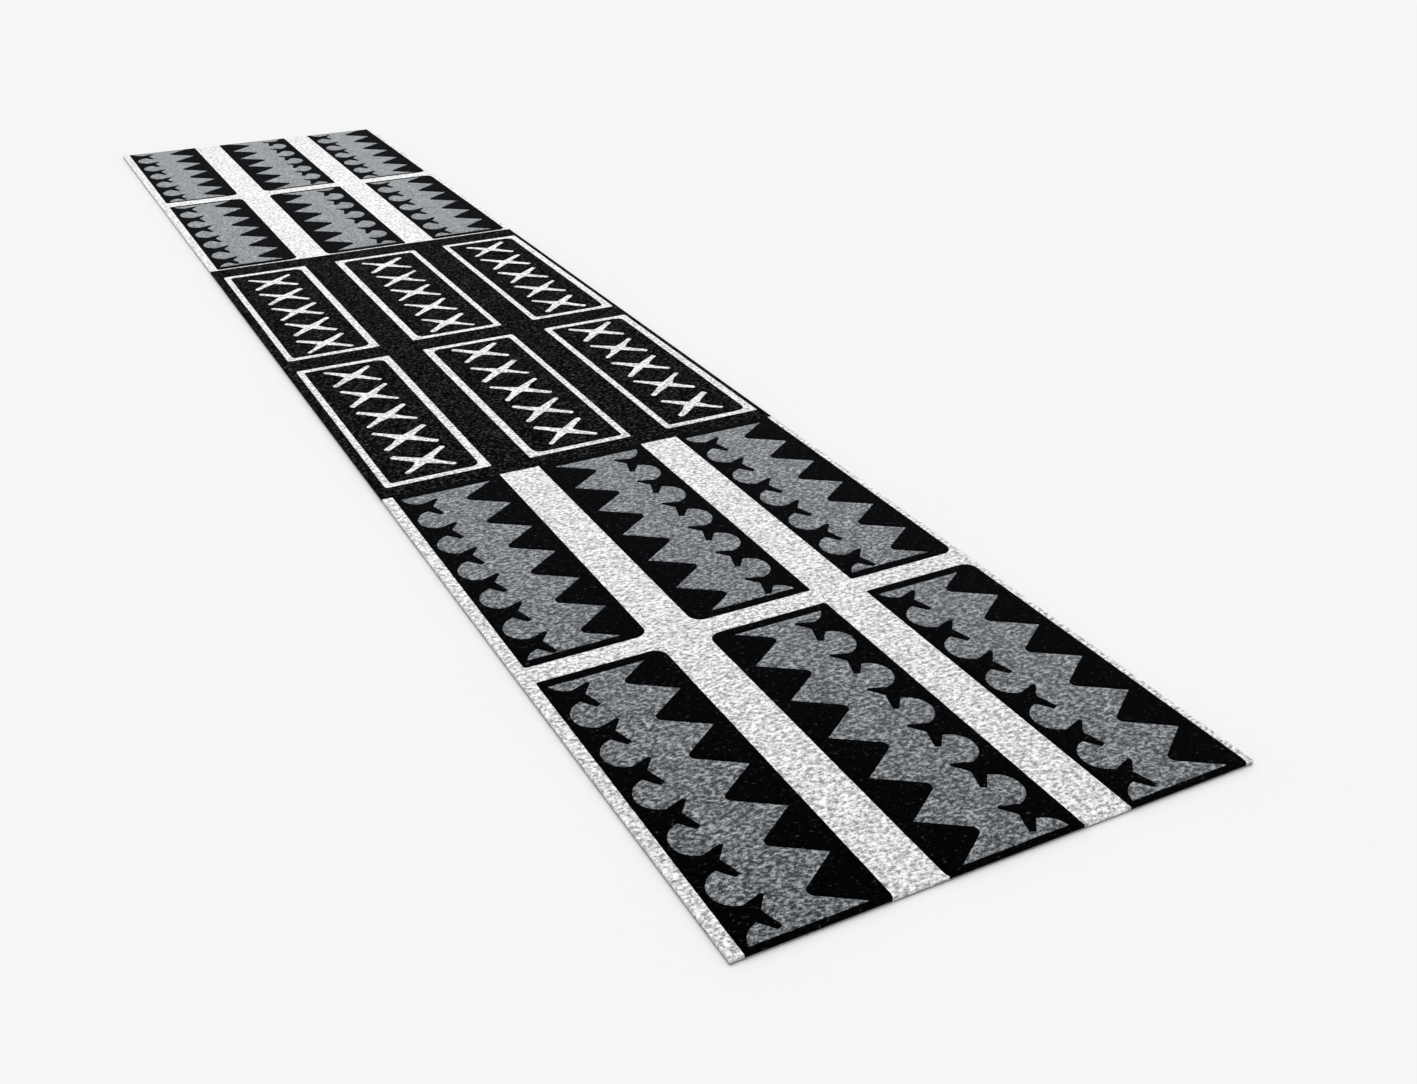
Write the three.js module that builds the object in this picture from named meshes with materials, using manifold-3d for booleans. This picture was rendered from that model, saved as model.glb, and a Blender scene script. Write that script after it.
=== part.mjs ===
// A low pile runner rug of three sections that meet end to end.
// Millimetres, +Z up: X runs across the rug and Y along it. The origin is under the middle
// of the rug, in the plane that it lies on.
import * as THREE from 'three';
import { mergeVertices } from 'three/addons/utils/BufferGeometryUtils.js';
import Module from 'manifold-3d';

// The rug's outline and its three sections, from the near end to the far end.
const WIDTH = 610;
const NEAR_LENGTH = 980;
const MIDDLE_LENGTH = 1086;
const FAR_LENGTH = 984;
const LENGTH = NEAR_LENGTH + MIDDLE_LENGTH + FAR_LENGTH;
const SEAM_GAP = 0.5;

// Its layers, from the floor up. All are whole quarters of a millimetre.
const FELT_THICKNESS = 1.5;
const CLOTH_THICKNESS = 0.75;
const PILE_HEIGHT = 3.75;
const CLOTH_BASE = FELT_THICKNESS;
const PILE_BASE = CLOTH_BASE + CLOTH_THICKNESS;

// Tape glued under each seam. The felt stops beside it, so that both lie flush.
const TAPE_WIDTH = 70;

// Clearance between two fields of tufts, and between the tape and the felt.
const FIELD_GAP = 0.3;

// The three columns of the pattern. Their saw teeth point left or right in turn.
const COLUMNS = [
  { name: 'left', left: 14.5, right: 169.5, tipsRight: true },
  { name: 'centre', left: 228, right: 389, tipsRight: false },
  { name: 'right', left: 447, right: 602.5, tipsRight: true },
];

// The section's end cuts the panels that reach it. They run past it by so much before the cut,
// which leaves part of their rounded corners at the near end and none at the other cuts.
const PAST_NEAR_END = 8;
const PAST_FAR_END = 16;
const PANEL_RADIUS_TIP_SIDE = 16;
const PANEL_RADIUS_LOBE_SIDE = 4;

// Rows of black panels, measured from the near end of their own section. A motif shows the
// stretch of its saw between start and end. firstTip is the first whole tooth in it.
const NEAR_ROWS = [
  { name: 'near', from: -PAST_NEAR_END, to: 470.5, start: 7, end: 456.5, firstTip: 80.7 },
  { name: 'far', from: 503, to: NEAR_LENGTH + PAST_FAR_END, start: 517, end: 967, firstTip: 584.6 },
];
const NEAR_PITCH = 76.8;
const FAR_ROWS = [
  { name: 'near', from: 4, to: 483, start: 19.5, end: 475, firstTip: 92.4 },
  { name: 'far', from: 515, to: FAR_LENGTH + PAST_FAR_END, start: 523, end: FAR_LENGTH, firstTip: 595.8 },
];
const FAR_PITCH = 78.2;

// The saw-tooth motif. Distances across are from the outermost point of its lobes, and
// distances along are from the tip of the tooth.
const MOTIF_WIDTH = 129;
const TIP_MARGIN = 18;
const TEETH = 7;
const LOBE_RADIUS = 26.5;
const LOBE_STEPS = 4;
const LOBE_HALF_SWEEP = THREE.MathUtils.degToRad(78);
const WAIST_ACROSS = 32.5;
const NEAR_NOTCH = [[45.5, -21.5], [42.5, -18.5]];
const FAR_NOTCH = [[33.5, 9.5], [40, 12.5]];
const VALLEY_ACROSS = 82;
const VALLEY_HALF_WIDTH = 5.5;

// White frames on the charcoal middle section, measured like the rows above.
const FRAME_ROWS = [
  { name: 'near', from: 31.5, to: 508.5 },
  { name: 'far', from: 557.5, to: 1038.5 },
];
const FRAME_END_BAR = 10.8;
const FRAME_TIP_SIDE_BAR = 12.5;
const FRAME_LOBE_SIDE_BAR = 10;
const FRAME_OUTER_RADIUS = 5;
const FRAME_INNER_RADIUS = 14;
const FRAME_SHARP_RADIUS = 2;
const CORNER_STEPS = 4;

const white = new THREE.MeshStandardMaterial({ color: 0xdcdcdc, roughness: 0.95, metalness: 0 });
const grey = new THREE.MeshStandardMaterial({ color: 0x7c8184, roughness: 0.95, metalness: 0 });
const black = new THREE.MeshStandardMaterial({ color: 0x0b0b0d, roughness: 0.95, metalness: 0 });
const charcoal = new THREE.MeshStandardMaterial({ color: 0x1c1e1d, roughness: 0.95, metalness: 0 });
const cloth = new THREE.MeshStandardMaterial({ color: 0xb9b3a5, roughness: 0.9, metalness: 0 });
const felt = new THREE.MeshStandardMaterial({ color: 0x8d8a84, roughness: 0.97, metalness: 0 });
const tape = new THREE.MeshStandardMaterial({ color: 0xa9a08c, roughness: 0.85, metalness: 0 });

const wasm = await Module();
wasm.setup();

const rug = new THREE.Group();

// Outlines -----------------------------------------------------------------------------

// A rectangle with its own radius at each corner: near left, near right, far right, far left.
function roundedRectangle(left, right, near, far, radii) {
  const corners = [[left, near], [right, near], [right, far], [left, far]];
  const inward = [[1, 1], [-1, 1], [-1, -1], [1, -1]];
  const points = [];
  corners.forEach(([x, y], corner) => {
    const radius = radii[corner];
    const steps = radius > 0 ? CORNER_STEPS : 0;
    const centreX = x + inward[corner][0] * radius;
    const centreY = y + inward[corner][1] * radius;
    for (let step = 0; step <= steps; step += 1) {
      const angle = Math.PI + (corner + step / CORNER_STEPS) * (Math.PI / 2);
      points.push(new THREE.Vector2(
        centreX + radius * Math.cos(angle),
        centreY + radius * Math.sin(angle),
      ));
    }
  });
  return points;
}

// The same outline moved out by a margin, or in where the margin is negative.
function grown(outline, margin) {
  const turn = THREE.ShapeUtils.area(outline) > 0 ? 1 : -1;
  return outline.map((point, index) => {
    const into = point.clone().sub(outline.at(index - 1)).normalize();
    const out = outline[(index + 1) % outline.length].clone().sub(point).normalize();
    const normal = new THREE.Vector2(into.y + out.y, -into.x - out.x);
    const stretch = (turn * margin) / (1 + into.dot(out));
    return point.clone().addScaledVector(normal, stretch);
  });
}

// One side of one tooth's stretch of the saw, from its near valley to its far one.
function lobeSide(pitch) {
  const points = [[WAIST_ACROSS, -pitch / 2], ...NEAR_NOTCH];
  for (let step = 0; step <= LOBE_STEPS; step += 1) {
    const angle = LOBE_HALF_SWEEP * ((2 * step) / LOBE_STEPS - 1);
    points.push([LOBE_RADIUS * (1 - Math.cos(angle)), LOBE_RADIUS * Math.sin(angle)]);
  }
  return [...points, ...FAR_NOTCH];
}

function toothSide(pitch) {
  const valley = pitch / 2 - VALLEY_HALF_WIDTH;
  return [[VALLEY_ACROSS, -valley], [MOTIF_WIDTH, 0], [VALLEY_ACROSS, valley]];
}

// The whole saw of a column, one tooth longer than its motif at both ends.
function sawOutline(column, row, pitch) {
  const tipLine = column.tipsRight ? column.right - TIP_MARGIN : column.left + TIP_MARGIN;
  const towardsTip = column.tipsRight ? 1 : -1;
  const lobes = [];
  const teeth = [];
  for (let tooth = 0; tooth < TEETH; tooth += 1) {
    const tip = row.firstTip + (tooth - 1) * pitch;
    const place = ([across, along]) => new THREE.Vector2(
      tipLine - towardsTip * (MOTIF_WIDTH - across),
      tip + along,
    );
    lobes.push(...lobeSide(pitch).map(place));
    teeth.push(...toothSide(pitch).map(place));
  }
  return [...lobes, ...teeth.reverse()];
}

// A panel has larger corners on the side that its teeth point to.
function panelOutline(column, row) {
  const left = column.tipsRight ? PANEL_RADIUS_LOBE_SIDE : PANEL_RADIUS_TIP_SIDE;
  const right = column.tipsRight ? PANEL_RADIUS_TIP_SIDE : PANEL_RADIUS_LOBE_SIDE;
  return roundedRectangle(column.left, column.right, row.from, row.to, [left, right, right, left]);
}

function frameOuter(column, row) {
  const left = column.tipsRight ? FRAME_OUTER_RADIUS : FRAME_SHARP_RADIUS;
  const right = column.tipsRight ? FRAME_SHARP_RADIUS : FRAME_OUTER_RADIUS;
  return roundedRectangle(column.left, column.right, row.from, row.to, [left, right, right, left]);
}

function frameInner(column, row) {
  const leftBar = column.tipsRight ? FRAME_LOBE_SIDE_BAR : FRAME_TIP_SIDE_BAR;
  const rightBar = column.tipsRight ? FRAME_TIP_SIDE_BAR : FRAME_LOBE_SIDE_BAR;
  const left = column.tipsRight ? FRAME_OUTER_RADIUS : FRAME_INNER_RADIUS;
  const right = column.tipsRight ? FRAME_INNER_RADIUS : FRAME_OUTER_RADIUS;
  return roundedRectangle(
    column.left + leftBar,
    column.right - rightBar,
    row.from + FRAME_END_BAR,
    row.to - FRAME_END_BAR,
    [left, right, right, left],
  );
}

function rectangle(left, right, near, far) {
  return roundedRectangle(left, right, near, far, [0, 0, 0, 0]);
}

// Solids -------------------------------------------------------------------------------

function prism(outline, height) {
  return new THREE.ExtrudeGeometry(new THREE.Shape(outline), { depth: height, bevelEnabled: false });
}

function toSolid(geometry) {
  const bare = geometry.clone();
  bare.deleteAttribute('normal');
  bare.deleteAttribute('uv');
  const merged = mergeVertices(bare);
  return new wasm.Manifold(new wasm.Mesh({
    numProp: 3,
    vertProperties: merged.attributes.position.array,
    triVerts: Uint32Array.from(merged.index.array),
  }));
}

// A cut prism keeps its two flat faces exactly on its base and at its height.
function toGeometry(solid, height) {
  const { vertProperties, triVerts } = solid.getMesh();
  const geometry = new THREE.BufferGeometry();
  geometry.setAttribute('position', new THREE.BufferAttribute(Float32Array.from(vertProperties), 3));
  geometry.setIndex(Array.from(triVerts));
  const { position } = geometry.attributes;
  for (let index = 0; index < position.count; index += 1) {
    position.setZ(index, position.getZ(index) > height / 2 ? height : 0);
  }
  geometry.computeVertexNormals();
  return geometry;
}

function tufts(outline) {
  return toSolid(prism(outline, PILE_HEIGHT));
}

function addPiece(name, geometry, material, nearEnd, base) {
  const piece = new THREE.Mesh(geometry, material);
  piece.name = name;
  piece.position.set(-WIDTH / 2, nearEnd - LENGTH / 2, base);
  rug.add(piece);
}

function addPile(name, solid, material, nearEnd) {
  addPiece(name, toGeometry(solid, PILE_HEIGHT), material, nearEnd, PILE_BASE);
}

// Sections -----------------------------------------------------------------------------

// A white section: its ground, and in each panel the black field and the grey motif.
function whiteSection(section, nearEnd, near, far, rows, pitch) {
  const whole = tufts(rectangle(0, WIDTH, near, far));
  let ground = whole;
  for (const row of rows) {
    const band = tufts(rectangle(0, WIDTH, row.start, row.end));
    const widerBand = tufts(rectangle(0, WIDTH, row.start - FIELD_GAP, row.end + FIELD_GAP));
    for (const column of COLUMNS) {
      const label = `${section}_${row.name}_${column.name}`;
      const outline = panelOutline(column, row);
      const saw = sawOutline(column, row, pitch);
      const motif = tufts(saw).intersect(band);
      const hole = tufts(grown(saw, FIELD_GAP)).intersect(widerBand);
      addPile(`${label}_panel`, tufts(outline).intersect(whole).subtract(hole), black, nearEnd);
      addPile(`${label}_motif`, motif, grey, nearEnd);
      ground = ground.subtract(tufts(grown(outline, FIELD_GAP)));
    }
  }
  addPile(`${section}_ground`, ground, white, nearEnd);
}

// The middle section: its ground, the white frames and the field inside each frame.
function framedSection(section, nearEnd, near, far) {
  let ground = tufts(rectangle(0, WIDTH, near, far));
  for (const row of FRAME_ROWS) {
    for (const column of COLUMNS) {
      const label = `${section}_${row.name}_${column.name}`;
      const outer = frameOuter(column, row);
      const inner = frameInner(column, row);
      addPile(`${label}_frame`, tufts(outer).subtract(tufts(inner)), white, nearEnd);
      addPile(`${label}_field`, tufts(grown(inner, -FIELD_GAP)), charcoal, nearEnd);
      ground = ground.subtract(tufts(grown(outer, FIELD_GAP)));
    }
  }
  addPile(`${section}_ground`, ground, charcoal, nearEnd);
}

// The woven cloth that the tufts stand in, and the felt glued under it, for one section.
function backing(section, nearEnd, near, far, feltNear, feltFar) {
  const clothOutline = rectangle(0, WIDTH, near, far);
  const feltOutline = rectangle(0, WIDTH, feltNear, feltFar);
  addPiece(`${section}_primary_backing`, prism(clothOutline, CLOTH_THICKNESS), cloth, nearEnd, CLOTH_BASE);
  addPiece(`${section}_felt_backing`, prism(feltOutline, FELT_THICKNESS), felt, nearEnd, 0);
}

function seamTape(name, seam) {
  const outline = rectangle(0, WIDTH, -TAPE_WIDTH / 2, TAPE_WIDTH / 2);
  addPiece(name, prism(outline, FELT_THICKNESS), tape, seam, 0);
}

const halfSeam = SEAM_GAP / 2;
const besideTape = TAPE_WIDTH / 2 + FIELD_GAP;
const nearSeam = NEAR_LENGTH;
const farSeam = NEAR_LENGTH + MIDDLE_LENGTH;

whiteSection('near', 0, 0, NEAR_LENGTH - halfSeam, NEAR_ROWS, NEAR_PITCH);
backing('near', 0, 0, NEAR_LENGTH - halfSeam, 0, NEAR_LENGTH - besideTape);

framedSection('middle', nearSeam, halfSeam, MIDDLE_LENGTH - halfSeam);
backing('middle', nearSeam, halfSeam, MIDDLE_LENGTH - halfSeam, besideTape, MIDDLE_LENGTH - besideTape);

whiteSection('far', farSeam, halfSeam, FAR_LENGTH, FAR_ROWS, FAR_PITCH);
backing('far', farSeam, halfSeam, FAR_LENGTH, besideTape, FAR_LENGTH);

seamTape('near_seam_tape', nearSeam);
seamTape('far_seam_tape', farSeam);

export default rug;
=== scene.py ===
"""A low pile runner rug of three sections: its tufted fields, backings, seams and studio."""
import math

import bpy
import numpy as np
from mathutils import Matrix, Vector
from mathutils.geometry import delaunay_2d_cdt


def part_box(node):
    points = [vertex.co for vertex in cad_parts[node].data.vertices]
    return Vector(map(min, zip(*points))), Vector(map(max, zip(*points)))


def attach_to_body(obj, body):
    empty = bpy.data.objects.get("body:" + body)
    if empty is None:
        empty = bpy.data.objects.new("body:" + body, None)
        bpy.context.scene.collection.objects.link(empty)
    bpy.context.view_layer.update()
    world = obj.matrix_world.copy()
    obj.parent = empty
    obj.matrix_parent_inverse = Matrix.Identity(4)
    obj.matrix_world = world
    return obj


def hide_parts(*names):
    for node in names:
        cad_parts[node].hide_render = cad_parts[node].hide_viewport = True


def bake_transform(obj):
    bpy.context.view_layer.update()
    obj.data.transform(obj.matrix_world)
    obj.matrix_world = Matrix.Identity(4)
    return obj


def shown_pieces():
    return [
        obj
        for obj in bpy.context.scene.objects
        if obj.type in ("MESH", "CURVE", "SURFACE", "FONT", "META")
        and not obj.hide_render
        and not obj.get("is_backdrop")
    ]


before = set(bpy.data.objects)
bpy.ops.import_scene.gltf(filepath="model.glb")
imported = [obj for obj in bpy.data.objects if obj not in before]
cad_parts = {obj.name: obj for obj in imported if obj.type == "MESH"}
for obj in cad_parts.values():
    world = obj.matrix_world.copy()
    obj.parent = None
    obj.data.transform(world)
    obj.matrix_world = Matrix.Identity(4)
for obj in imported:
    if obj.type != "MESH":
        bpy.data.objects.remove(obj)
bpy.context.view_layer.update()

MM = 0.001

# Spacing of the mesh points on the pile, on the backings and along the pile's outlines.
PILE_STEP = 3.2 * MM
BACKING_STEP = 7.0 * MM
EDGE_STEP = 3.6 * MM

# The points inside a field, in shares of PILE_STEP: how far apart their rows are, how far they
# are moved off the grid, and how far they stay from the outline.
ROW_SHARE = 0.87
SCATTER_SHARE = 0.22
CLEAR_SHARE = 0.45

# Points of an outline closer than SAME_PLACE are one, and those closer than ON_RIM to a rim
# are on it. The triangulation merges points closer than MERGING, and triangles with less than
# half of SMALLEST_TURN square metres are left out. Edges over SHARP_ANGLE aren't smoothed.
SAME_PLACE = 1e-3 * MM
ON_RIM = 0.01 * MM
MERGING = 1e-7
SMALLEST_TURN = 1e-13
SHARP_ANGLE = math.radians(55)

# Relief of the pile: it rounds off at each field's edge and is never quite level.
EDGE_DROP = 0.3 * MM
EDGE_ROUNDING = 2.4 * MM
TUFT_RELIEF = 0.22 * MM
SWELL_RELIEF = 0.16 * MM
SWELL_LENGTH = 55 * MM
TUFT_LENGTH = 3.0 * MM
WANDER = 0.2 * MM
WANDER_LENGTH = 6 * MM
FELT_RELIEF = 0.15 * MM
FELT_LENGTH = 12 * MM
NOISE_CELLS = 512

# Seeds of the random numbers. A field's own seed is made from its name.
TUFT_SEED = 11
SWELL_SEED = 12
WANDER_SEEDS = (21, 22)
FELT_SEED = 31
CROSS_SEED = 5
NAME_SEED_STEP = 1009

# Gap between two fields of tufts, whose tips lean together over the clearance below them.
FIELD_GAP = 0.06 * MM

# The pattern, in millimetres. It is the CAD model's, with finer curves and rounder valleys.
COLUMNS = ("left", "centre", "right")
ROWS = ("near", "far")
PAST_NEAR_END = 8
PAST_FAR_END = 16
PANEL_RADIUS_TIP_SIDE = 16
PANEL_RADIUS_LOBE_SIDE = 4
FRAME_END_BAR = 10.8
FRAME_TIP_SIDE_BAR = 12.5
FRAME_LOBE_SIDE_BAR = 10
FRAME_OUTER_RADIUS = 5
FRAME_INNER_RADIUS = 14
FRAME_SHARP_RADIUS = 2
CORNER_STEPS = 8

# The saw: distances across from the lobes' outermost point and along from a tooth's tip.
# SAWS gives, for each row of motifs, the pitch and how far its first tip is from its near end.
SAWS = {
    ("near", "near"): (76.8, 73.7),
    ("near", "far"): (76.8, 67.6),
    ("far", "near"): (78.2, 72.9),
    ("far", "far"): (78.2, 72.8),
}
MOTIF_WIDTH = 129
TIP_MARGIN = 18
TEETH = 7
LOBE_RADIUS = 26.5
LOBE_STEPS = 16
LOBE_HALF_SWEEP = math.radians(78)
WAIST_ACROSS = 32.5
NEAR_NOTCH = ((45.5, -21.5), (42.5, -18.5))
FAR_NOTCH = ((33.5, 9.5), (40, 12.5))
VALLEY_ACROSS = 80.5
VALLEY_RADIUS = 8
VALLEY_STEPS = 6

# The crosses in the frames, a little off the middle of each frame and more so by column.
CROSSES = 5
CROSS_PITCH = 89
CROSS_ROW_SHIFT = {"near": 3.5, "far": -4}
CROSS_COLUMN_STEP = 2.5
CROSS_HALF_WIDTH = 38.5
CROSS_HALF_LENGTH = 33
STROKE_AT_HEART = 5.6
STROKE_AT_TIP = 4.0

# How much a cross varies, in mm: where its tips are, how wide they are, and where its strokes
# bend. Then how many stroke widths a shoulder lies before its tip, and the notches' stretch.
CROSS_UNEVENNESS = 2.2
TIP_WIDTH_UNEVENNESS = 0.7
BEND_UNEVENNESS = 0.8
SHOULDER_SHARES = (0.2, 0.9)
HEART_STRETCH = (0.95, 1.1)

# Where a stroke bends, as a share of the way to its tip, and the notches between the strokes,
# in widths of a stroke at the heart.
BEND_SHARE = 0.55
HEART_NOTCHES = ((0, 1.62), (-2.15, 0), (0, -1.62), (2.15, 0))

# How far from each seam the moving section bends when it folds, and the sheets' finer rows
# on both sides of a seam.
NEAR_BEND = 26 * MM
FAR_BEND = 32 * MM
BEND_STEP = 1.3 * MM
BEND_ROWS = 27

# The camera: sensor and lens in mm, its place in metres, and the direction from the rug to it.
SENSOR_WIDTH = 36
LENS = 38.36
CAMERA_PLACE = (-0.777, -2.3634, 0.9342)
CAMERA_BACK = (-0.41510, -0.77461, 0.47716)
CAMERA_ROLL = math.radians(0.32)

# Scales of the pile's noises: flecks of yarn, ribs across the rug, patches, tufts and fibres.
FLECK_STRETCH = (160, 230, 200)
RIB_STRETCH = (30, 190, 1)
PATCH_SCALE = 40
TUFT_SCALE = 420.0
FIBRE_SCALE = 1500

# The studio.
FLOOR_HALF_SIZE = 30
FLOOR_DROP = 0.3 * MM
WORLD_STRENGTH = 0.8
SUN_ENERGY = 0.52
SUN_ANGLE = math.radians(30)
SUN_DIRECTION = (-0.2, -0.35, -1.05)
FAR_LAMP_ENERGY = 48
FAR_LAMP_SIZE = 1.5
FAR_LAMP_PLACE = (0.1, 1.0, 2.5)


def body_named(part):
    return f"{part}_section"


def middle_along(node):
    low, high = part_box(node)
    return (low[1] + high[1]) / 2


NEAR_SEAM = middle_along("near_seam_tape")
FAR_SEAM = middle_along("far_seam_tape")


# Camera --------------------------------------------------------------------------------

def camera():
    """The view along the rug from above its near left corner."""
    data = bpy.data.cameras.new("camera")
    data.sensor_width = SENSOR_WIDTH
    data.lens = LENS
    data.dof.use_dof = False
    data.clip_start = 0.01
    made = bpy.data.objects.new("camera", data)
    bpy.context.collection.objects.link(made)
    roll = Matrix.Rotation(CAMERA_ROLL, 4, "Z")
    turn = (-Vector(CAMERA_BACK)).to_track_quat("-Z", "Y").to_matrix().to_4x4()
    made.matrix_world = Matrix.Translation(CAMERA_PLACE) @ turn @ roll
    bpy.context.scene.camera = made


# Noise ---------------------------------------------------------------------------------

def smooth_noise(x, y, length, seed):
    """Smooth noise from -1 to 1, with features about as long as length."""
    table = np.random.default_rng(seed).uniform(-1, 1, (NOISE_CELLS, NOISE_CELLS))
    u = x / length
    v = y / length
    i = np.floor(u).astype(int)
    j = np.floor(v).astype(int)
    s = (u - i) ** 2 * (3 - 2 * (u - i))
    t = (v - j) ** 2 * (3 - 2 * (v - j))
    left = i % NOISE_CELLS
    right = (i + 1) % NOISE_CELLS
    near = j % NOISE_CELLS
    far = (j + 1) % NOISE_CELLS
    low = table[left, near] * (1 - s) + table[right, near] * s
    high = table[left, far] * (1 - s) + table[right, far] * s
    return low * (1 - t) + high * t


# Outlines ------------------------------------------------------------------------------

def rounded_rectangle(left, right, near, far, radii):
    """Corners in the order near left, near right, far right, far left, each with its radius."""
    corners = ((left, near, 1, 1), (right, near, -1, 1), (right, far, -1, -1), (left, far, 1, -1))
    points = []
    for number, (x, y, inward_x, inward_y) in enumerate(corners):
        radius = radii[number] * MM
        for step in range(CORNER_STEPS + 1 if radius > 0 else 1):
            angle = math.pi + (number + step / CORNER_STEPS) * math.pi / 2
            points.append((
                x + inward_x * radius + radius * math.cos(angle),
                y + inward_y * radius + radius * math.sin(angle),
            ))
    return np.array(points)


def grown(outline, margin):
    """The same outline moved out by margin, or in where it is negative."""
    following = np.roll(outline, -1, axis=0)
    area = np.sum(outline[:, 0] * following[:, 1] - following[:, 0] * outline[:, 1])
    into = outline - np.roll(outline, 1, axis=0)
    into /= np.linalg.norm(into, axis=1)[:, None]
    out = np.roll(into, -1, axis=0)
    normal = np.stack((into[:, 1] + out[:, 1], -into[:, 0] - out[:, 0]), axis=1)
    stretch = np.sign(area) * margin / (1 + np.sum(into * out, axis=1))
    return outline + normal * stretch[:, None]


def clipped(outline, near, far):
    """The part of an outline between two lines across the rug."""
    for limit, sign in ((near, 1), (far, -1)):
        kept = []
        for a, b in zip(outline, np.roll(outline, -1, axis=0)):
            a_in = sign * (a[1] - limit) >= 0
            b_in = sign * (b[1] - limit) >= 0
            if a_in:
                kept.append(a)
            if a_in != b_in:
                kept.append(a + (b - a) * (limit - a[1]) / (b[1] - a[1]))
        outline = np.array(kept)
    step = np.linalg.norm(outline - np.roll(outline, 1, axis=0), axis=1)
    return outline[step > SAME_PLACE]


def corners_of(node):
    """(left, right, near, far) of a CAD node."""
    low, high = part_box(node)
    return low[0], high[0], low[1], high[1]


def tips_right(column):
    """The saws point right, except those of the centre column."""
    return column != "centre"


def lobe_side(pitch):
    """The waist before a lobe, then the lobe with the notch on each side of it."""
    points = [(WAIST_ACROSS, -pitch / 2), *NEAR_NOTCH]
    for step in range(LOBE_STEPS + 1):
        angle = LOBE_HALF_SWEEP * (2 * step / LOBE_STEPS - 1)
        points.append((LOBE_RADIUS * (1 - math.cos(angle)), LOBE_RADIUS * math.sin(angle)))
    return [*points, *FAR_NOTCH]


def tooth_side(pitch):
    """A tooth's tip, and half of the round valley on each side of it."""
    centre = VALLEY_ACROSS + VALLEY_RADIUS
    to_tip = math.hypot(MOTIF_WIDTH - centre, pitch / 2)
    sweep = math.acos(-VALLEY_RADIUS / to_tip) - math.atan2(pitch / 2, MOTIF_WIDTH - centre)
    valley = []
    for step in range(VALLEY_STEPS + 1):
        angle = sweep * step / VALLEY_STEPS
        valley.append((centre - VALLEY_RADIUS * math.cos(angle), VALLEY_RADIUS * math.sin(angle)))
    far = [(across, pitch / 2 - along) for across, along in reversed(valley)]
    near = [(across, along - pitch / 2) for across, along in valley[1:]]
    return [*near, (MOTIF_WIDTH, 0), *far[:-1]]


def saw_outline(section, row, column):
    """The whole saw of one column's row, longer than its motif at both ends."""
    pitch, first_tip = SAWS[section, row]
    left, right, _, _ = corners_of(f"{section}_{row}_{column}_panel")
    _, _, start, _ = corners_of(f"{section}_{row}_{column}_motif")
    towards = 1 if tips_right(column) else -1
    tip_line = (right if tips_right(column) else left) - towards * TIP_MARGIN * MM
    lobes = []
    teeth = []
    for tooth in range(TEETH):
        tip = start + (first_tip + (tooth - 1) * pitch) * MM
        for across, along in lobe_side(pitch):
            lobes.append((tip_line - towards * (MOTIF_WIDTH - across) * MM, tip + along * MM))
        for across, along in tooth_side(pitch):
            teeth.append((tip_line - towards * (MOTIF_WIDTH - across) * MM, tip + along * MM))
    return np.array(lobes + teeth[::-1])


def panel_outline(section, row, column, margin=0.0):
    """A panel grown by a margin, and cut off where it runs past the section's end."""
    left, right, near, far = corners_of(f"{section}_{row}_{column}_panel")
    _, _, start, end = corners_of(f"{section}_ground")
    sides = (PANEL_RADIUS_LOBE_SIDE, PANEL_RADIUS_TIP_SIDE)
    if not tips_right(column):
        sides = sides[::-1]
    if near < start + MM:
        near -= PAST_NEAR_END * MM
    if far > end - MM:
        far += PAST_FAR_END * MM
    whole = rounded_rectangle(left, right, near, far, (*sides, *sides[::-1]))
    return clipped(grown(whole, margin), start, end)


def frame_outlines(row, column):
    """The outer and the inner outline of a white frame."""
    left, right, near, far = corners_of(f"middle_{row}_{column}_frame")
    outer = [FRAME_OUTER_RADIUS, FRAME_SHARP_RADIUS]
    inner = [FRAME_OUTER_RADIUS, FRAME_INNER_RADIUS]
    bars = [FRAME_LOBE_SIDE_BAR * MM, FRAME_TIP_SIDE_BAR * MM]
    if not tips_right(column):
        outer = outer[::-1]
        inner = inner[::-1]
        bars = bars[::-1]
    end = FRAME_END_BAR * MM
    return (
        rounded_rectangle(left, right, near, far, (*outer, *outer[::-1])),
        rounded_rectangle(left + bars[0], right - bars[1], near + end, far - end,
                          (*inner, *inner[::-1])),
    )


def cross_outline(centre_x, centre_y, random):
    """One cross of four tapering strokes, each a little different, as if drawn by hand."""
    arms = ((1, 1), (-1, 1), (-1, -1), (1, -1))
    points = []
    for (side, end), notch in zip(arms, HEART_NOTCHES):
        uneven = random.uniform(-CROSS_UNEVENNESS, CROSS_UNEVENNESS, 2)
        tip = np.array((side * CROSS_HALF_WIDTH, end * CROSS_HALF_LENGTH)) + uneven
        along = tip / np.linalg.norm(tip)
        width = STROKE_AT_TIP + random.uniform(-TIP_WIDTH_UNEVENNESS, TIP_WIDTH_UNEVENNESS)
        across = np.array((along[1], -along[0])) * width
        shoulder = tip - along * STROKE_AT_TIP * random.uniform(*SHOULDER_SHARES)
        bend = tip * BEND_SHARE + random.uniform(-BEND_UNEVENNESS, BEND_UNEVENNESS, 2)
        wide = across * (0.5 + 0.5 * STROKE_AT_HEART / STROKE_AT_TIP)
        points += [bend + wide, shoulder + across, tip, shoulder - across, bend - wide]
        points.append(np.array(notch) * STROKE_AT_HEART * random.uniform(*HEART_STRETCH))
    return np.array(points) * MM + np.array((centre_x, centre_y))


# Meshes --------------------------------------------------------------------------------

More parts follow.
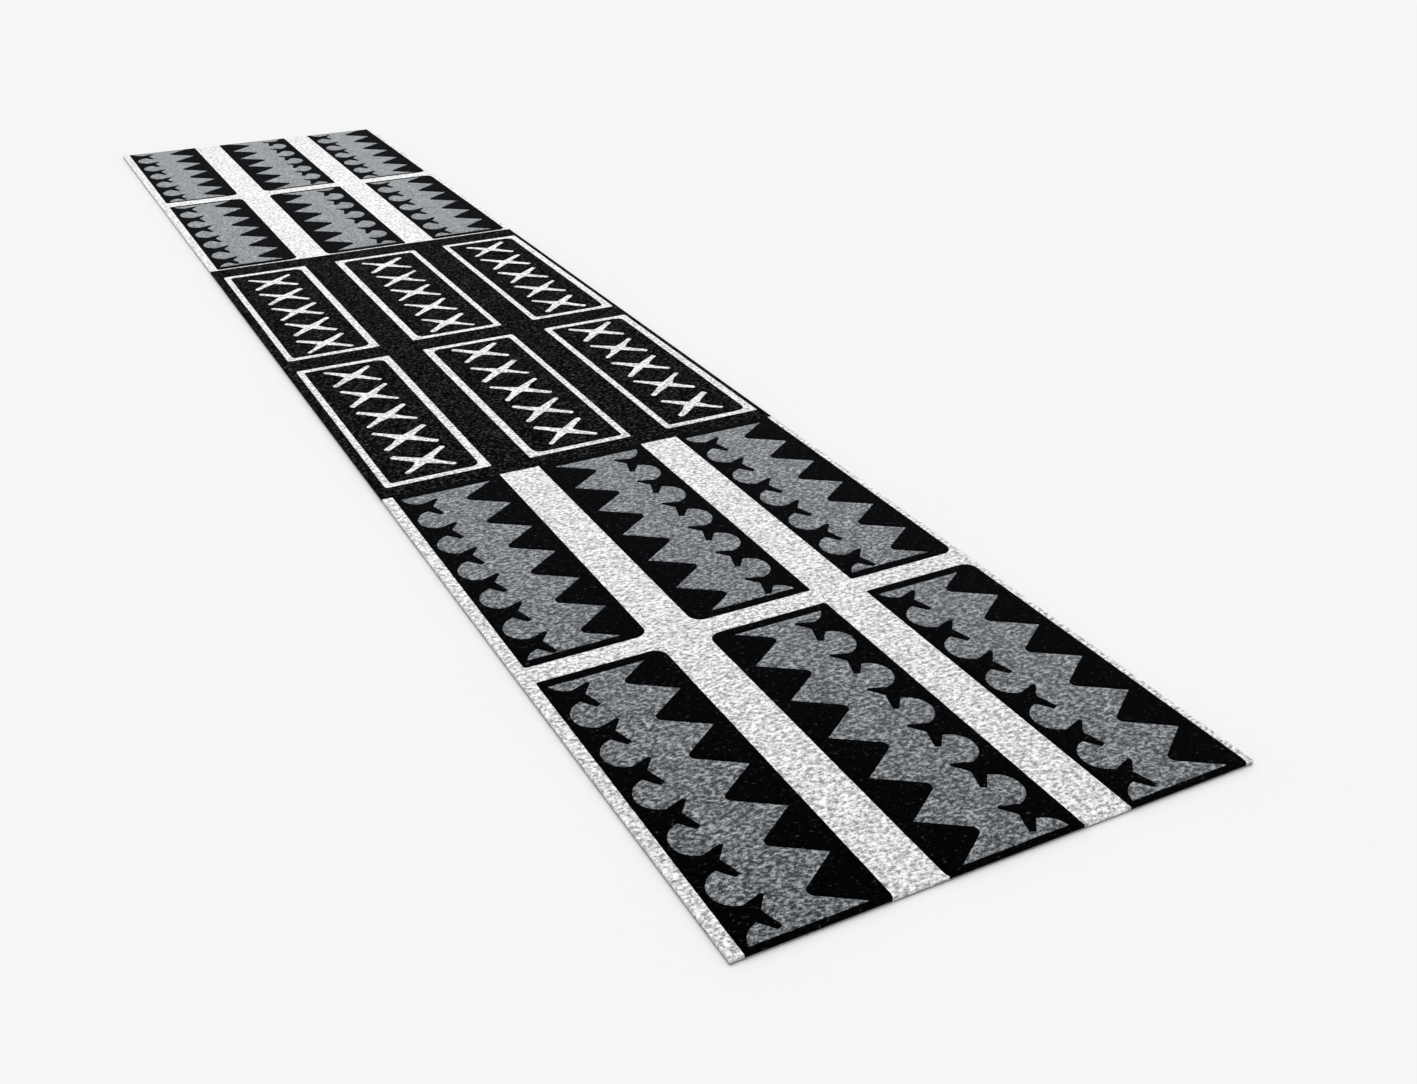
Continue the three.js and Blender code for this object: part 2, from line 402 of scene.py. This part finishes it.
def finer(loop, step):
    """The same closed outline with no side longer than step."""
    points = []
    for a, b in zip(loop, np.roll(loop, -1, axis=0)):
        count = max(1, math.ceil(np.linalg.norm(b - a) / step - 0.01))
        points += [a + (b - a) * k / count for k in range(count)]
    return np.array(points)


def surrounded(points, loops):
    """Which of the points an odd number of the loops surround."""
    inside = np.zeros(len(points), bool)
    x, y = points.T
    for loop in loops:
        for a, b in zip(loop, np.roll(loop, -1, axis=0)):
            if a[1] != b[1]:
                crossing = a[0] + (b[0] - a[0]) * (y - a[1]) / (b[1] - a[1])
                inside ^= ((a[1] > y) != (b[1] > y)) & (x < crossing)
    return inside


def distance_to(points, loops):
    """How far each point is from the nearest loop."""
    nearest = np.full(len(points), np.inf)
    for loop in loops:
        for a, b in zip(loop, np.roll(loop, -1, axis=0)):
            side = b - a
            along = np.clip((points - a) @ side / (side @ side), 0, 1)
            nearest = np.minimum(nearest, np.hypot(*(points - a - along[:, None] * side).T))
    return nearest


def filled(loops, free_points, step=math.inf):
    """Points and triangles that fill what an odd number of the loops surround."""
    points = []
    edges = []
    for loop in loops:
        first = len(points)
        points += [tuple(p) for p in finer(loop, step)]
        count = len(points) - first
        edges += [(first + k, first + (k + 1) % count) for k in range(count)]
    points += [tuple(p) for p in free_points]
    result = delaunay_2d_cdt([Vector(p) for p in points], edges, [], 0, MERGING, True)
    flat = np.array([tuple(v) for v in result[0]])
    triangles = np.array([tuple(f) for f in result[2]], int)
    a, b, c = (flat[triangles[:, k]] for k in range(3))
    turn = np.cross(b - a, c - a)
    triangles[turn < 0] = triangles[turn < 0][:, ::-1]
    kept = triangles[surrounded((a + b + c) / 3, loops) & (np.abs(turn) > SMALLEST_TURN)]
    used, renumbered = np.unique(kept, return_inverse=True)
    return flat[used], renumbered.reshape(kept.shape)


def border_of(triangles):
    """The directed edges that only one triangle has."""
    edges = np.concatenate([triangles[:, [0, 1]], triangles[:, [1, 2]], triangles[:, [2, 0]]])
    own = {tuple(e) for e in edges.tolist()}
    return [(a, b) for a, b in own if (b, a) not in own]


def new_piece(name, points, faces, material):
    """An object of the points and faces, smooth except over its sharp edges."""
    mesh = bpy.data.meshes.new(name)
    mesh.from_pydata([tuple(p) for p in points], [], faces)
    mesh.validate()
    mesh.polygons.foreach_set("use_smooth", [True] * len(mesh.polygons))
    mesh.set_sharp_from_angle(angle=SHARP_ANGLE)
    mesh.materials.append(material)
    piece = bpy.data.objects.new(name, mesh)
    bpy.context.collection.objects.link(piece)
    return piece


def pile_height(x, y, reach, top):
    """The pile's surface: rounded off at its edge, with tufts and a slow swell."""
    edge = np.clip(1 - reach / EDGE_ROUNDING, 0, 1) ** 2 * EDGE_DROP
    tufts = TUFT_RELIEF * (1 + smooth_noise(x, y, TUFT_LENGTH, TUFT_SEED)) / 2
    swell = SWELL_RELIEF * (1 + smooth_noise(x, y, SWELL_LENGTH, SWELL_SEED)) / 2
    return top - edge - tufts - swell


def wandered(points):
    """Tufts never stand in a perfect line, so every outline wanders a little."""
    x, y = points.T
    shifts = [WANDER * smooth_noise(x, y, WANDER_LENGTH, seed) for seed in WANDER_SEEDS]
    return points + np.stack(shifts, axis=1)


def kept_out(moved, flat, low, high):
    """The tufts on the rim of a section lean out over its backing, never in."""
    for axis in (0, 1):
        for limit, out in ((low[axis], -1), (high[axis], 1)):
            rim = np.abs(flat[:, axis] - limit) < ON_RIM
            lean = np.abs(moved[rim, axis] - limit)
            moved[rim, axis] = limit + out * lean
    return moved


def closed_loops(border):
    """The border's edges put in order, one list of vertices for each loop."""
    following = dict(border)
    loops = []
    while following:
        loop = [min(following)]
        while loop[-1] in following:
            loop.append(following.pop(loop[-1]))
        loops.append(loop[:-1])
    return loops


def scattered(loops, seed):
    """Points inside the loops, on a triangular grid that is not quite even."""
    x0, y0 = loops[0].min(axis=0)
    x1, y1 = loops[0].max(axis=0)
    rows = np.arange(y0, y1, PILE_STEP * ROW_SHARE)
    grid = np.array([(x + (k % 2) * PILE_STEP / 2, y)
                     for k, y in enumerate(rows) for x in np.arange(x0, x1, PILE_STEP)])
    random = np.random.default_rng(seed)
    grid = grid + random.uniform(-SCATTER_SHARE, SCATTER_SHARE, grid.shape) * PILE_STEP
    grid = grid[surrounded(grid, loops)]
    return grid[distance_to(grid, loops) > PILE_STEP * CLEAR_SHARE]


def in_bends(points):
    """Which of the points lie where a section bends when it folds."""
    y = points[:, 1]
    near = (y > NEAR_SEAM - NEAR_BEND - PILE_STEP) & (y < NEAR_SEAM)
    far = (y > FAR_SEAM) & (y < FAR_SEAM + FAR_BEND + PILE_STEP)
    return near | far


def tufted_field(name, loops, node, section, material):
    """A closed solid of tufts that fills the loops, as high as the CAD node."""
    low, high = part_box(node)
    grid = scattered(loops, len(name) * NAME_SEED_STEP + sum(map(ord, name)))
    flat, top_faces = filled(loops, grid, EDGE_STEP)
    border = border_of(top_faces)
    ring = sorted({a for a, _ in border})
    reach = distance_to(flat, loops)
    reach[ring] = 0
    moved = kept_out(wandered(flat), flat, *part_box(f"{section}_ground"))
    heights = pile_height(flat[:, 0], flat[:, 1], reach, high[2])
    top_points = np.column_stack((moved, heights))
    place = {vertex: len(flat) + k for k, vertex in enumerate(ring)}
    walls = [(b, a, place[a], place[b]) for a, b in border]
    below = {tuple(flat[vertex]): place[vertex] for vertex in ring}
    outlines = [flat[loop] for loop in closed_loops(border)]
    base_flat, base_faces = filled(outlines, grid[in_bends(grid)])
    base = list(moved[ring])
    for point in base_flat:
        if tuple(point) not in below:
            below[tuple(point)] = len(flat) + len(base)
            base.append(point)
    base_points = np.column_stack((base, np.full(len(base), low[2])))
    floor = [tuple(below[tuple(base_flat[v])] for v in face[::-1]) for face in base_faces.tolist()]
    faces = [tuple(face) for face in top_faces.tolist()] + walls + floor
    return new_piece(name, np.vstack((top_points, base_points)), faces, material)


def rows_along(low, high):
    """Where a sheet's rows lie from low to high: closer together beside the seams."""
    even = np.linspace(low, high, max(2, round((high - low) / BACKING_STEP)) + 1)
    rows = [low, high]
    for y in even[1:-1]:
        if min(abs(y - NEAR_SEAM), abs(y - FAR_SEAM)) > (BEND_ROWS + 1) * BEND_STEP:
            rows.append(y)
    for seam in (NEAR_SEAM, FAR_SEAM):
        for number in range(-BEND_ROWS, BEND_ROWS + 1):
            y = seam + number * BEND_STEP
            if low + BEND_STEP / 2 < y < high - BEND_STEP / 2:
                rows.append(y)
    return np.sort(rows)


def backing_slab(name, node, material, relief):
    """A thin closed sheet with the CAD node's box, on a grid that can bend."""
    low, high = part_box(node)
    columns = max(2, round((high[0] - low[0]) / BACKING_STEP))
    row_places = rows_along(low[1], high[1])
    rows = len(row_places) - 1
    xs, ys = np.meshgrid(np.linspace(low[0], high[0], columns + 1), row_places)
    flat = np.stack((xs.ravel(), ys.ravel()), axis=1)
    lift = relief * (1 + smooth_noise(flat[:, 0], flat[:, 1], FELT_LENGTH, FELT_SEED)) / 2
    inner = (flat > np.array(low[:2]) + MM).all(axis=1)
    inner &= (flat < np.array(high[:2]) - MM).all(axis=1)
    lift = np.where(inner, lift, 0)
    upper = np.column_stack((flat, np.full(len(flat), high[2])))
    lower = np.column_stack((flat, low[2] + lift))
    across = columns + 1
    quads = [(r * across + c, r * across + c + 1, (r + 1) * across + c + 1, (r + 1) * across + c)
             for r in range(rows) for c in range(columns)]
    count = len(flat)
    under = [tuple(count + v for v in quad[::-1]) for quad in quads]
    halves = [half for quad in quads for half in (quad[:3], (quad[0], *quad[2:]))]
    walls = [(b, a, count + a, count + b) for a, b in border_of(np.array(halves))]
    return new_piece(name, np.vstack((upper, lower)), quads + under + walls, material)


# Materials -----------------------------------------------------------------------------

class Nodes:
    """A material's node tree, with short calls that add and link its nodes."""

    def __init__(self, name):
        self.material = bpy.data.materials.new(name)
        self.material.use_nodes = True
        self.tree = self.material.node_tree
        self.shader = self.tree.nodes["Principled BSDF"]
        coordinates = self.tree.nodes.new("ShaderNodeTexCoord")
        self.place = coordinates.outputs["Object"]

    def add(self, kind, inputs=None, **settings):
        node = self.tree.nodes.new(kind)
        for key, value in settings.items():
            setattr(node, key, value)
        for key, value in (inputs or {}).items():
            if isinstance(value, bpy.types.NodeSocket):
                self.tree.links.new(value, node.inputs[key])
            else:
                node.inputs[key].default_value = value
        return node

    def link(self, output, key):
        self.tree.links.new(output, self.shader.inputs[key])

    def stretched(self, scale):
        """The place, scaled by its own factor along each axis."""
        return self.add("ShaderNodeMapping", {"Vector": self.place, "Scale": scale}).outputs[0]

    def noise(self, scale, detail=2.0, roughness=0.5, vector=None):
        inputs = {"Vector": vector or self.place, "Scale": scale, "Detail": detail,
                  "Roughness": roughness}
        return self.add("ShaderNodeTexNoise", inputs).outputs["Fac"]

    def ramp(self, factor, stops):
        node = self.add("ShaderNodeValToRGB", {"Fac": factor})
        elements = node.color_ramp.elements
        while len(elements) < len(stops):
            elements.new(0.5)
        for element, (position, colour) in zip(elements, stops):
            element.position = position
            element.color = (*colour, 1)
        return node.outputs["Color"]

    def spread(self, factor, low, high, start=0.3, end=0.7):
        """factor from start to end becomes a number from low to high."""
        inputs = {"Value": factor, "From Min": start, "From Max": end, "To Min": low,
                  "To Max": high}
        return self.add("ShaderNodeMapRange", inputs).outputs["Result"]

    def maths(self, operation, a, b):
        return self.add("ShaderNodeMath", {0: a, 1: b}, operation=operation).outputs[0]

    def shaded(self, colour, factor):
        """colour times a number."""
        node = self.add("ShaderNodeVectorMath", {0: colour}, operation="SCALE")
        self.tree.links.new(factor, node.inputs["Scale"])
        return node.outputs["Vector"]

    def bump(self, height, strength, distance):
        inputs = {"Height": height, "Strength": strength, "Distance": distance}
        self.link(self.add("ShaderNodeBump", inputs).outputs["Normal"], "Normal")


def pile_material(name, stops, ribs, mottling, sheen, tint, specular):
    """Short heathered pile: flecks of yarn, faint ribs across the rug, tufts in relief, and painted
    shade in the gaps between the tufts.
    """
    nodes = Nodes(name)
    flecks = nodes.noise(1.0, detail=4.0, roughness=0.8, vector=nodes.stretched(FLECK_STRETCH))
    colour = nodes.ramp(flecks, stops)
    rows = nodes.noise(1.0, detail=2.0, vector=nodes.stretched(RIB_STRETCH))
    patches = nodes.noise(PATCH_SCALE, detail=4.0, roughness=0.65)
    shade = nodes.maths("MULTIPLY", nodes.spread(rows, 1 - ribs, 1 + ribs),
                        nodes.spread(patches, 1 - mottling, 1 + mottling))
    tufts = nodes.add("ShaderNodeTexVoronoi", {"Vector": nodes.place, "Scale": TUFT_SCALE},
                      feature="SMOOTH_F1").outputs["Distance"]
    # Painted shade: the base colour is darkened by up to 14 per cent in the gaps between the tufts,
    # where the pile lies in shade.
    painted_tuft_shade = nodes.spread(tufts, 1.0, 0.86, 0.35, 0.75)
    nodes.link(nodes.shaded(colour, nodes.maths("MULTIPLY", shade, painted_tuft_shade)), "Base Color")
    fibres = nodes.noise(FIBRE_SCALE, detail=2.0)
    height = nodes.maths("ADD", nodes.spread(tufts, 1.0, 0.0, 0.0, 0.8),
                         nodes.spread(fibres, 0.0, 0.5))
    nodes.bump(height, 0.55, 0.9 * MM)
    nodes.link(nodes.spread(flecks, 0.9, 1.0), "Roughness")
    nodes.shader.inputs["Sheen Weight"].default_value = sheen
    nodes.shader.inputs["Sheen Roughness"].default_value = 0.35
    nodes.shader.inputs["Sheen Tint"].default_value = (*tint, 1)
    nodes.shader.inputs["Specular IOR Level"].default_value = specular
    return nodes.material


def white_pile():
    """White yarn with grey flecks."""
    stops = ((0.40, (0.23, 0.23, 0.23)), (0.50, (0.62, 0.62, 0.62)), (0.58, (0.97, 0.97, 0.97)))
    return pile_material("white_pile", stops, ribs=0.10, mottling=0.07, sheen=0.8,
                         tint=(1, 1, 1), specular=0.2)


def grey_pile():
    """Dark and light grey yarns, mixed."""
    stops = ((0.42, (0.009, 0.011, 0.013)), (0.50, (0.090, 0.100, 0.107)),
             (0.60, (0.37, 0.39, 0.405)))
    return pile_material("grey_pile", stops, ribs=0.16, mottling=0.3, sheen=1.0,
                         tint=(0.93, 0.98, 1.0), specular=0.1)


def black_pile():
    """Black yarn with a few blue-grey flecks."""
    stops = ((0.53, (0.0001, 0.0001, 0.0001)), (0.62, (0.002, 0.002, 0.0028)),
             (0.71, (0.06, 0.066, 0.08)))
    return pile_material("black_pile", stops, ribs=0.1, mottling=0.25, sheen=0.05,
                         tint=(0.85, 0.88, 1.0), specular=0.0)


def charcoal_pile():
    """Black and dark grey yarns."""
    stops = ((0.47, (0.0, 0.0, 0.0)), (0.53, (0.0025, 0.0029, 0.0027)),
             (0.62, (0.042, 0.046, 0.044)))
    return pile_material("charcoal_pile", stops, ribs=0.3, mottling=0.5, sheen=0.015,
                         tint=(0.9, 1.0, 0.95), specular=0.0)


def woven_backing():
    """Flat tape yarns crossing over and under each other."""
    nodes = Nodes("woven_backing")
    warp = nodes.add("ShaderNodeTexWave", {"Vector": nodes.place, "Scale": 170.0, "Distortion": 0.6},
                     bands_direction="X").outputs["Fac"]
    weft = nodes.add("ShaderNodeTexWave", {"Vector": nodes.place, "Scale": 120.0, "Distortion": 0.6},
                     bands_direction="Y").outputs["Fac"]
    weave = nodes.maths("MAXIMUM", warp, weft)
    colour = nodes.ramp(weave, ((0.0, (0.03, 0.029, 0.027)), (1.0, (0.11, 0.105, 0.096))))
    nodes.link(nodes.shaded(colour, nodes.spread(nodes.noise(60), 0.88, 1.1)), "Base Color")
    nodes.link(nodes.spread(weave, 0.95, 0.75), "Roughness")
    nodes.bump(weave, 0.6, 0.4 * MM)
    return nodes.material


def felt_backing():
    """Needled felt: matted fibres in two shades, with shallow dimples."""
    nodes = Nodes("felt_backing")
    fibres = nodes.noise(700, detail=4.0, roughness=0.7, vector=nodes.stretched((1, 0.45, 1)))
    colour = nodes.ramp(fibres, ((0.3, (0.13, 0.125, 0.115)), (0.5, (0.27, 0.26, 0.24)),
                                 (0.72, (0.5, 0.49, 0.46))))
    nodes.link(nodes.shaded(colour, nodes.spread(nodes.noise(26, 3.0), 0.9, 1.08)), "Base Color")
    needles = nodes.add("ShaderNodeTexVoronoi", {"Vector": nodes.place, "Scale": 260.0})
    dimples = nodes.spread(needles.outputs["Distance"], 0.0, 1.0, 0.0, 0.35)
    nodes.link(nodes.spread(fibres, 0.92, 1.0), "Roughness")
    nodes.bump(nodes.maths("ADD", dimples, fibres), 0.6, 0.5 * MM)
    nodes.shader.inputs["Sheen Weight"].default_value = 0.15
    nodes.shader.inputs["Sheen Roughness"].default_value = 0.6
    return nodes.material


def seam_tape():
    """Twill tape with ribs that run across it."""
    nodes = Nodes("seam_tape")
    slanted = nodes.add("ShaderNodeMapping", {"Vector": nodes.place, "Rotation": (0, 0, 0.6)})
    twill = nodes.add("ShaderNodeTexWave", {"Vector": slanted.outputs[0], "Scale": 190.0,
                                            "Distortion": 0.4}, bands_direction="X").outputs["Fac"]
    colour = nodes.ramp(twill, ((0.0, (0.22, 0.19, 0.13)), (1.0, (0.44, 0.4, 0.3))))
    nodes.link(nodes.shaded(colour, nodes.spread(nodes.noise(45), 0.9, 1.08)), "Base Color")
    nodes.link(nodes.spread(twill, 0.9, 0.75), "Roughness")
    nodes.bump(twill, 0.5, 0.3 * MM)
    return nodes.material


def studio_floor():
    """A pale matt floor that is very slightly uneven."""
    nodes = Nodes("studio_floor")
    stops = ((0.0, (0.962, 0.962, 0.962)), (1.0, (0.974, 0.974, 0.974)))
    nodes.link(nodes.ramp(nodes.noise(2.0), stops), "Base Color")
    nodes.shader.inputs["Roughness"].default_value = 1.0
    nodes.shader.inputs["Specular IOR Level"].default_value = 0.0
    return nodes.material


# Pieces --------------------------------------------------------------------------------

MATERIALS = {
    "white_pile": white_pile(),
    "grey_pile": grey_pile(),
    "black_pile": black_pile(),
    "charcoal_pile": charcoal_pile(),
    "woven_backing": woven_backing(),
    "felt_backing": felt_backing(),
    "seam_tape": seam_tape(),
}


def attach(piece, part):
    """Rides on its section; where it reaches into a seam's bend zone it is left unattached, with its
    transform baked in.
    """
    low = min(v.co.y for v in piece.data.vertices)
    high = max(v.co.y for v in piece.data.vertices)
    if low < NEAR_SEAM - MM and high > NEAR_SEAM - NEAR_BEND:
        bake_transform(piece)
    elif high > FAR_SEAM + MM and low < FAR_SEAM + FAR_BEND:
        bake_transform(piece)
    else:
        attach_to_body(piece, body_named(part))


def pile_piece(node, loops, slot, part):
    """One field of tufts, standing for its CAD node."""
    piece = tufted_field(f"{node}_tufts", loops, node, part, MATERIALS[slot])
    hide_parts(node)
    attach(piece, part)
    return piece


def white_section(part):
    """The ground, panels and motifs of a white section."""
    left, right, near, far = corners_of(f"{part}_ground")
    ground = rounded_rectangle(left, right, near, far, (0, 0, 0, 0))
    made = []
    holes = []
    for row in ROWS:
        for column in COLUMNS:
            label = f"{part}_{row}_{column}"
            panel = panel_outline(part, row, column)
            saw = saw_outline(part, row, column)
            _, _, start, end = corners_of(f"{label}_motif")
            hole_end = min(end + FIELD_GAP, far)
            hole = clipped(grown(saw, FIELD_GAP), start - FIELD_GAP, hole_end)
            made.append(pile_piece(f"{label}_panel", [panel, hole], "black_pile", part))
            made.append(pile_piece(f"{label}_motif", [clipped(saw, start, end)], "grey_pile", part))
            holes.append(panel_outline(part, row, column, FIELD_GAP))
    made.append(pile_piece(f"{part}_ground", [ground, *holes], "white_pile", part))
    return made


def framed_section():
    """The charcoal middle section: ground, frames, fields and the crosses in them."""
    random = np.random.default_rng(CROSS_SEED)
    made = []
    holes = []
    for row in ROWS:
        for column in COLUMNS:
            label = f"middle_{row}_{column}"
            outer, inner = frame_outlines(row, column)
            left, right, near, far = corners_of(f"{label}_field")
            shift = CROSS_ROW_SHIFT[row] + (COLUMNS.index(column) - 1) * CROSS_COLUMN_STEP
            crosses = []
            for number in range(CROSSES):
                along = shift + (number - (CROSSES - 1) / 2) * CROSS_PITCH
                middle_y = (near + far) / 2 + along * MM
                crosses.append(cross_outline((left + right) / 2, middle_y, random))
            field = [grown(inner, -FIELD_GAP), *(grown(cross, FIELD_GAP) for cross in crosses)]
            made.append(pile_piece(f"{label}_frame", [outer, inner], "white_pile", "middle"))
            made.append(pile_piece(f"{label}_field", field, "charcoal_pile", "middle"))
            for number, cross in enumerate(crosses, 1):
                piece = tufted_field(f"{label}_cross_{number}", [cross], f"{label}_field",
                                     "middle", MATERIALS["white_pile"])
                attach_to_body(piece, body_named("middle"))
                made.append(piece)
            holes.append(grown(outer, FIELD_GAP))
    left, right, near, far = corners_of("middle_ground")
    ground = rounded_rectangle(left, right, near, far, (0, 0, 0, 0))
    made.append(pile_piece("middle_ground", [ground, *holes], "charcoal_pile", "middle"))
    return made


def backing_piece(node, slot, part, relief=0.0):
    """One backing sheet or tape, standing for its CAD node."""
    piece = backing_slab(f"{node}_sheet", node, MATERIALS[slot], relief)
    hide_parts(node)
    attach(piece, part)
    return piece


def rug():
    """The three sections with their backings, and the tapes that join them."""
    tapes = [backing_piece(f"{seam}_seam_tape", "seam_tape", "middle") for seam in ("near", "far")]
    sections = {
        "near": white_section("near"),
        "middle": framed_section(),
        "far": white_section("far"),
    }
    for part, pile in sections.items():
        primary = backing_piece(f"{part}_primary_backing", "woven_backing", part)
        felt = backing_piece(f"{part}_felt_backing", "felt_backing", part, FELT_RELIEF)


# Studio --------------------------------------------------------------------------------

def studio():
    """A plain, evenly lit pale floor, with a lamp of the rug's own over its far half."""
    lit = bpy.data.collections.new("rug_pieces")
    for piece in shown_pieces():
        lit.objects.link(piece)
    floor_mesh = bpy.data.meshes.new("studio_floor")
    signs = ((-1, -1), (1, -1), (1, 1), (-1, 1))
    corners = [(x * FLOOR_HALF_SIZE, y * FLOOR_HALF_SIZE, 0) for x, y in signs]
    floor_mesh.from_pydata(corners, [], [(0, 1, 2, 3)])
    floor_mesh.materials.append(studio_floor())
    floor = bpy.data.objects.new("studio_floor", floor_mesh)
    floor.location.z = -FLOOR_DROP
    bpy.context.collection.objects.link(floor)
    floor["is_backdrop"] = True
    world = bpy.data.worlds.new("studio")
    world.use_nodes = True
    world.node_tree.nodes["Background"].inputs["Color"].default_value = (1, 1, 1, 1)
    world.node_tree.nodes["Background"].inputs["Strength"].default_value = WORLD_STRENGTH
    bpy.context.scene.world = world
    sun = bpy.data.lights.new("softbox", "SUN")
    sun.energy = SUN_ENERGY
    sun.angle = SUN_ANGLE
    lamp = bpy.data.objects.new("softbox", sun)
    lamp.rotation_euler = Vector(SUN_DIRECTION).to_track_quat("-Z", "Y").to_euler()
    bpy.context.collection.objects.link(lamp)
    panel = bpy.data.lights.new("far_panel", "AREA")
    panel.energy = FAR_LAMP_ENERGY
    panel.size = FAR_LAMP_SIZE
    far_lamp = bpy.data.objects.new("far_panel", panel)
    far_lamp.location = FAR_LAMP_PLACE
    far_lamp.light_linking.receiver_collection = lit
    bpy.context.collection.objects.link(far_lamp)
    bpy.context.scene.view_settings.view_transform = "Standard"


camera()
rug()
studio()
